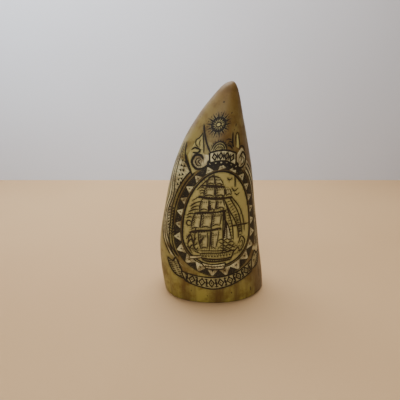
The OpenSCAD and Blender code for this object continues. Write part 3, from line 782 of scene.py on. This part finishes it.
def speckle_group():
    """Shader group: soft stains and fine specks, at named sizes."""
    tree = bpy.data.node_groups.new("stains_and_specks", "ShaderNodeTree")
    add_sockets(tree, "INPUT", "Float", "Stain Scale", "Speck Scale", "Speck Amount")
    add_sockets(tree, "OUTPUT", "Float", "Stain", "Speck", "Streak")
    given = tree.nodes.new("NodeGroupInput").outputs
    spot = object_place(tree)
    speck = noise(tree, spot, given["Speck Scale"])
    cutoff = maths(tree, "SUBTRACT", 1.0, given["Speck Amount"])
    drawn_out = place(tree, "ShaderNodeMapping", {"Vector": spot, "Scale": (1.0, 1.0, 0.14)}).outputs[0]
    place(tree, "NodeGroupOutput", {
        "Stain": noise(tree, spot, given["Stain Scale"], 4.0, 0.6),
        "Speck": rise_between(tree, speck, cutoff, maths(tree, "ADD", cutoff, 0.12)),
        "Streak": noise(tree, drawn_out, given["Stain Scale"], 5.0, 0.65)})
    return tree


stains_and_specks = speckle_group()


def stains(tree, stain_scale, speck_scale, speck_amount):
    sizes = {"Stain Scale": stain_scale, "Speck Scale": speck_scale, "Speck Amount": speck_amount}
    return place(tree, "ShaderNodeGroup", sizes, node_tree=stains_and_specks).outputs


def scratch_group():
    """Shader group: hair-fine rubbing scratches that run mostly upright, as a height."""
    tree = bpy.data.node_groups.new("rubbing_scratches", "ShaderNodeTree")
    add_sockets(tree, "INPUT", "Float", "Scale")
    add_sockets(tree, "OUTPUT", "Float", "Height")
    given = tree.nodes.new("NodeGroupInput").outputs
    spot = object_place(tree)
    tilted = place(tree, "ShaderNodeMapping", {"Vector": spot, "Rotation": (0.2, 0.35, 0.0),
                                               "Scale": (1.0, 1.0, 0.06)}).outputs[0]
    hairs = noise(tree, tilted, given["Scale"], 3.0)
    height = maths(tree, "MULTIPLY_ADD", noise(tree, spot, 140.0), 2.0, hairs)
    place(tree, "NodeGroupOutput", {"Height": height})
    return tree


rubbing_scratches = scratch_group()


def rubbed_bump(tree, scale, strength, distance):
    height = place(tree, "ShaderNodeGroup", {"Scale": scale}, node_tree=rubbing_scratches)
    return bump(tree, height.outputs["Height"], strength, distance)


def pigment(name, dark, worn, bare, speck_amount):
    """Ink that lies a little uneven: worn paler in places, with bare specks."""
    material, tree, shader = new_material(name)
    marks = stains(tree, 160.0, 1700.0, speck_amount)
    ink = blend(tree, marks["Stain"], dark, worn)
    ink = blend(tree, marks["Speck"], ink, bare)
    feed(tree, shader, {"Base Color": ink, "Normal": rubbed_bump(tree, 1500.0, 0.5, 0.0001),
                        "Roughness": 0.6, "Specular IOR Level": 0.3})
    return material


ink_line = pigment("ink_line", tone(8, 7, 4), tone(36, 29, 15), tone(84, 68, 34), 0.3)
ink_ground = pigment("ink_ground", tone(18, 16, 10), tone(42, 36, 23), tone(108, 94, 60), 0.4)
ink_ship = pigment("ink_ship", tone(14, 10, 4), tone(52, 38, 15), tone(96, 76, 34), 0.3)

# --- Casting -----------------------------------------------------------------
# Cast resin the colour of old bone, softly polished and a little translucent: yellow where
# the oval was scraped, browner at the tip and the base. Every stroke is a groove in its skin.

roll = 25.0
columns = 120
groove_depth = 0.36
fill_top = 0.06
foot_steps = 5
row_gap = 1.35
tip_from = 96
tip_count = 40
merge = 1e-4

turns = -math.pi + 2 * math.pi * np.arange(columns + 1) / columns
plain_rows = np.arange(foot_r, tip_from, row_gap)
tip_rows = form_h * (1 - np.linspace(math.sqrt(1 - tip_from / form_h), 0.025, tip_count)**2)
grid_turn, grid_z = np.meshgrid(turns, np.concatenate([plain_rows, tip_rows]))
sheet_points = [Vector(p) for p in zip(grid_turn.ravel() * roll, grid_z.ravel())]
sheet_faces = []
face_kind = []
for piece, tint, outline in drawn:
    flat = np.array(outline, float)
    flat[:, 0] *= roll / half_depth(flat[:, 1])
    next_corners = np.roll(flat, -1, axis=0)
    area = np.sum(flat[:, 0] * next_corners[:, 1] - next_corners[:, 0] * flat[:, 1]) / 2
    if abs(area) > merge:
        first = len(sheet_points)
        sheet_points.extend(Vector(p) for p in (flat if area > 0 else flat[::-1]))
        sheet_faces.append(list(range(first, first + len(flat))))
        face_kind.append((piece, tint))

laid = delaunay_2d_cdt(sheet_points, [], sheet_faces, 0, merge, True)
flat_points = np.array([tuple(v) for v in laid[0]])
triangles_of = np.array(laid[2])
top_face = [max(covers) if covers else -1 for covers in laid[5]]
piece_of = [face_kind[t][0] if t >= 0 else "" for t in top_face]
tint_of = [face_kind[t][1] if t >= 0 else "" for t in top_face]

# The sheet is rolled round the tooth, and its two upright edges become one seam.
seam = math.pi * roll - 0.01
seam_at = {round(float(z), 3): index for index, (u, z) in enumerate(flat_points) if u < -seam}
joined = np.arange(len(flat_points))
for index, (u, z) in enumerate(flat_points):
    if u > seam:
        joined[index] = seam_at[round(float(z), 3)]
triangles_of = joined[triangles_of]
skin_at = placed(skin(flat_points[:, 0] / roll, flat_points[:, 1]))
skin_way = outward(flat_points[:, 0] / roll, flat_points[:, 1])


def edges_between(inside):
    """Directed edges of the chosen triangles that have no chosen triangle beyond them."""
    chosen = {}
    for triangle in triangles_of[inside].tolist():
        for a, b in zip(triangle, triangle[1:] + triangle[:1]):
            chosen[a, b] = True
    return [edge for edge in chosen if (edge[1], edge[0]) not in chosen]


def solid(name, points, faces, material, normals=None):
    """A mesh object in metres; given normals of zero are worked out from the faces."""
    mesh = bpy.data.meshes.new(name)
    mesh.from_pydata([tuple(p) for p in points], [], faces)
    mesh.materials.append(material)
    mesh.shade_smooth()
    if normals is not None:
        mesh.set_sharp_from_angle(angle=math.radians(40))
        mesh.normals_split_custom_set(normals)
    made = bpy.data.objects.new(name, mesh)
    bpy.context.scene.collection.objects.link(made)
    return made


def ring(z, inset, step=1):
    """Points of one level ring of the tooth, drawn in from its skin."""
    level = np.full(columns, float(z))
    return placed(skin(turns[:-1], level, inset))[::step]


def foot_inset(z):
    return foot_r - math.sqrt(max(0.0, foot_r**2 - (foot_r - z)**2))


wall = 5.0
rim_w = 3.5
core_top = (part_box("filler_core")[1].z / MM) / tall - 1
pad_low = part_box("base_pad")[0].z / MM / tall
pad_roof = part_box("base_pad")[1].z / MM / tall

cut_mask = np.array([bool(p) for p in piece_of])
count = len(flat_points)
casting_points = [*skin_at, *(skin_at - skin_way * groove_depth * MM)]
casting_faces = [*triangles_of[~cut_mask].tolist(), *(triangles_of[cut_mask] + count).tolist()]
skin_faces = len(casting_faces)
for a, b in edges_between(cut_mask):
    casting_faces.append((a, b, b + count, a + count))


def edge_at(z):
    """Numbers of the sheet's points at one height, in order around the tooth."""
    level = (i for i in range(count) if abs(flat_points[i][1] - z) < 1e-3 and joined[i] == i)
    return sorted(level, key=lambda i: flat_points[i][0])


def add_ring(points, faces, upper, level):
    """Adds a ring below the last one and the quads between them; returns its numbers."""
    first = len(points)
    points.extend(level)
    lower = list(range(first, first + len(level)))
    size = len(level)
    faces.extend((upper[c], lower[c], lower[(c + 1) % size], upper[(c + 1) % size]) for c in range(size))
    return lower


def add_peak(points, faces, numbers, peak, order):
    """Closes a ring with triangles to one point; the order is 1 above the ring and -1 below."""
    points.append(peak)
    top = len(points) - 1
    for a, b in zip(numbers, numbers[1:] + numbers[:1]):
        faces.append((top, a, b) if order > 0 else (a, top, b))


add_peak(casting_points, casting_faces, edge_at(flat_points[:, 1].max()),
         placed(np.array([[right_reach[0], 0, form_h]]))[0], 1)
last_ring = edge_at(foot_r)
for step in range(1, foot_steps + 1):
    z = foot_r * (1 - math.sin(math.pi / 2 * step / foot_steps))
    last_ring = add_ring(casting_points, casting_faces, last_ring, ring(z, foot_inset(z)))
pad_rim = ring(0, foot_r + rim_w)
core_levels = np.linspace(pad_roof, core_top, 34)
for level in (pad_rim, pad_rim + [0, 0, pad_roof * tall * MM], *(ring(z, wall) for z in core_levels)):
    last_ring = add_ring(casting_points, casting_faces, last_ring, level)
crown = 1.0 * tall * MM
add_peak(casting_points, casting_faces, last_ring, ring(core_top, wall).mean(0) + [0, 0, crown], -1)

used = sorted({v for face in casting_faces for v in face})
renumber = {old: new for new, old in enumerate(used)}
normals = [tuple(skin_way[v % count]) for face in casting_faces[:skin_faces] for v in face]
normals += [(0, 0, 0)] * sum(len(face) for face in casting_faces[skin_faces:])

resin_olive = tone(140, 129, 74)
resin_brown = tone(106, 86, 48)
base_olive = tone(142, 130, 56)
base_brown = tone(80, 60, 26)
tip_brown = tone(106, 82, 38)
golden_light = tone(176, 166, 104)
golden_deep = tone(150, 137, 80)
pale_light = tone(212, 205, 160)
pale_deep = tone(184, 172, 124)
cloudy_brown = tone(88, 64, 24)
ink_smudge = tone(34, 27, 12)


def resin_material():
    """Polished resin, stained by height and by the tints of the scraped areas."""
    material, tree, shader = new_material("old_bone_resin")
    marks = stains(tree, 42.0, 620.0, 0.36)
    fine_marks = stains(tree, 150.0, 1500.0, 0.3)
    tints = place(tree, "ShaderNodeAttribute", {}, attribute_name="tint")
    part = place(tree, "ShaderNodeSeparateColor", {0: tints.outputs["Color"]}).outputs
    height = place(tree, "ShaderNodeSeparateXYZ", {0: object_place(tree)}).outputs["Z"]
    wander = maths(tree, "MULTIPLY_ADD", marks["Streak"], 0.03, height)
    streaky = rise_between(tree, marks["Streak"], 0.44, 0.56)
    body = blend(tree, streaky, resin_olive, resin_brown)
    base = blend(tree, streaky, base_olive, base_brown)
    colour = blend(tree, rise_between(tree, wander, 0.040, 0.012), body, base)
    colour = blend(tree, rise_between(tree, wander, 0.100, 0.135), colour, tip_brown)
    gold = blend(tree, marks["Stain"], golden_light, golden_deep)
    colour = blend(tree, part[0], colour, gold)
    light = blend(tree, fine_marks["Stain"], pale_light, pale_deep)
    colour = blend(tree, part[1], colour, light)
    smudge = maths(tree, "MULTIPLY", part[2], fine_marks["Stain"])
    smudge = maths(tree, "MULTIPLY", smudge, 1.05, use_clamp=True)
    colour = blend(tree, smudge, colour, ink_smudge)
    faint = maths(tree, "MULTIPLY", fine_marks["Speck"], 0.35)
    colour = blend(tree, faint, colour, ink_smudge)
    unscraped = maths(tree, "SUBTRACT", 1.0, part[0], use_clamp=True)
    cloudy = rise_between(tree, fine_marks["Stain"], 0.46, 0.66, 0.0, 0.7)
    cloudy = maths(tree, "MULTIPLY", cloudy, unscraped)
    colour = blend(tree, cloudy, colour, cloudy_brown)
    rough = rise_between(tree, fine_marks["Stain"], 0.3, 0.7, 0.4, 0.56)
    feed(tree, shader, {"Base Color": colour, "Roughness": rough,
                        "Normal": rubbed_bump(tree, 700.0, 0.35, 0.00025),
                        "Subsurface Weight": 0.12, "Subsurface Radius": (1.0, 0.6, 0.25),
                        "Subsurface Scale": 0.002, "Specular IOR Level": 0.26,
                        "Coat Weight": 0.06, "Coat Roughness": 0.18})
    return material


resin = resin_material()
casting = solid("resin_casting", [casting_points[v] for v in used],
                [tuple(renumber[v] for v in face) for face in casting_faces], resin, normals)
near_ink = np.zeros(2 * count)
for a, b in edges_between(cut_mask):
    near_ink[[a, b, a + count, b + count]] = 1.0
tint_amounts = {"": (0, 0, 0), "golden": (1, 0, 0), "pale": (0, 1, 0), "ribbon": (0.6, 0.3, 0),
                "sail": (0.85, 0.3, 0), "flank": (0, 0.9, 0), "dark_mark": (0, 0, 1.5)}
tints = []
open_tints = [t for t, c in zip(tint_of, cut_mask) if not c]
for number, face in enumerate(casting_faces):
    golden_part, pale_part, dark_part = tint_amounts[open_tints[number] if number < len(open_tints) else ""]
    for v in face:
        smudged = near_ink[v] if v < 2 * count else 0.0
        tints += [golden_part, pale_part, max(smudged, dark_part), 1.0]
layer = casting.data.color_attributes.new("tint", "FLOAT_COLOR", "CORNER")
layer.data.foreach_set("color", tints)
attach(casting, "root")
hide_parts("resin_tooth")

# --- Ink in the grooves ------------------------------------------------------
# Each figure's pigment is a thin solid that lies in its grooves, just below the skin.

inks = {"sawtooth_band": (ink_ground, "ink_ground")}
for name in ("ship_hull", "gun_ports", "bowsprit", "masts_and_yards", "sails", "rigging", "waves", "coast",
             "clouds", "gulls"):
    inks[name] = (ink_ship, "ink_ship")
pieces = sorted({p for p in piece_of if p})
fill_upper = skin_at - skin_way * fill_top * MM
fill_lower = skin_at - skin_way * (groove_depth - 0.01) * MM
for piece in pieces:
    mine = np.array([p == piece for p in piece_of])
    corners = np.unique(triangles_of[mine])
    place_in = {v: i for i, v in enumerate(corners.tolist())}
    depth = len(corners)
    tops = [tuple(place_in[v] for v in t) for t in triangles_of[mine].tolist()]
    faces = tops + [tuple(v + depth for v in reversed(t)) for t in tops]
    ways = [tuple(skin_way[corners[v]]) for t in tops for v in t] + [(0, 0, 0)] * (3 * len(tops))
    for a, b in edges_between(mine):
        a, b = place_in[a], place_in[b]
        faces.append((b, a, a + depth, b + depth))
        ways += [(0, 0, 0)] * 4
    material, slot_name = inks.get(piece, (ink_line, "ink_line"))
    fill = solid("ink_" + piece, [*fill_upper[corners], *fill_lower[corners]], faces, material, ways)
    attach(fill, "root")
    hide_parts(piece)

# --- Filled core -------------------------------------------------------------
# A cheaper filled resin, poured in from below, packs the middle of the casting. It is
# chalky and pitted, and only its flat foot would show with the pad off.


def filled_material():
    """Chalky filled resin with small pits."""
    material, tree, shader = new_material("filled_resin")
    marks = stains(tree, 70.0, 500.0, 0.42)
    colour = blend(tree, marks["Stain"], tone(176, 164, 136), tone(150, 138, 110))
    colour = blend(tree, marks["Speck"], colour, tone(104, 94, 74))
    feed(tree, shader, {"Base Color": colour, "Normal": rubbed_bump(tree, 500.0, 0.6, 0.0004),
                        "Roughness": 0.8})
    return material


def turned_solid(name, levels, material, crown_up):
    """A closed solid through level rings, from the top one down, crowned at its top."""
    points = list(levels[0])
    faces = []
    first = list(range(len(points)))
    last = first
    for level in levels[1:]:
        last = add_ring(points, faces, last, level)
    add_peak(points, faces, first, np.mean(levels[0], axis=0) + [0, 0, crown_up], 1)
    add_peak(points, faces, last, np.mean(levels[-1], axis=0), -1)
    made = solid(name, points, faces, material)
    made.data.set_sharp_from_angle(angle=math.radians(50))
    return made


gap = 0.05
core = turned_solid("filled_core", [ring(z, wall + gap, 2) for z in core_levels[::-1]], filled_material(),
                    0.9 * crown)
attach(core, "root")
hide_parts("filler_core")

# --- Felt pad ----------------------------------------------------------------
# A die-cut felt pad is glued into the recess of the base, a little above the resin rim.


def felt_material():
    """Dark green felt with a short nap."""
    material, tree, shader = new_material("felt")
    marks = stains(tree, 260.0, 2600.0, 0.5)
    colour = blend(tree, marks["Stain"], tone(38, 50, 38), tone(54, 66, 50))
    colour = blend(tree, marks["Speck"], colour, tone(76, 86, 68))
    feed(tree, shader, {"Base Color": colour, "Normal": bump(tree, marks["Speck"], 0.8, 0.0003),
                        "Roughness": 0.95, "Sheen Weight": 0.4})
    return material


def pad_ring(z, inset):
    return ring(0, foot_r + rim_w + inset) + [0, 0, z * tall * MM]


pad_gap = 0.1
pad_edge = 0.5
pad_levels = [pad_ring(pad_roof - 0.01, pad_gap), pad_ring(pad_low + pad_edge, pad_gap)]
for step in range(1, 5):
    lean = math.pi / 2 * step / 4
    z = pad_low + pad_edge * (1 - math.sin(lean))
    pad_levels.append(pad_ring(z, pad_gap + pad_edge * (1 - math.cos(lean))))
pad_levels += [pad_ring(pad_low + 0.03 * hand.random(), inset) for inset in (3, 7, 12, 16)]
pad = turned_solid("felt_pad", pad_levels, felt_material(), 0.0)
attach(pad, "root")
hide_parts("base_pad")
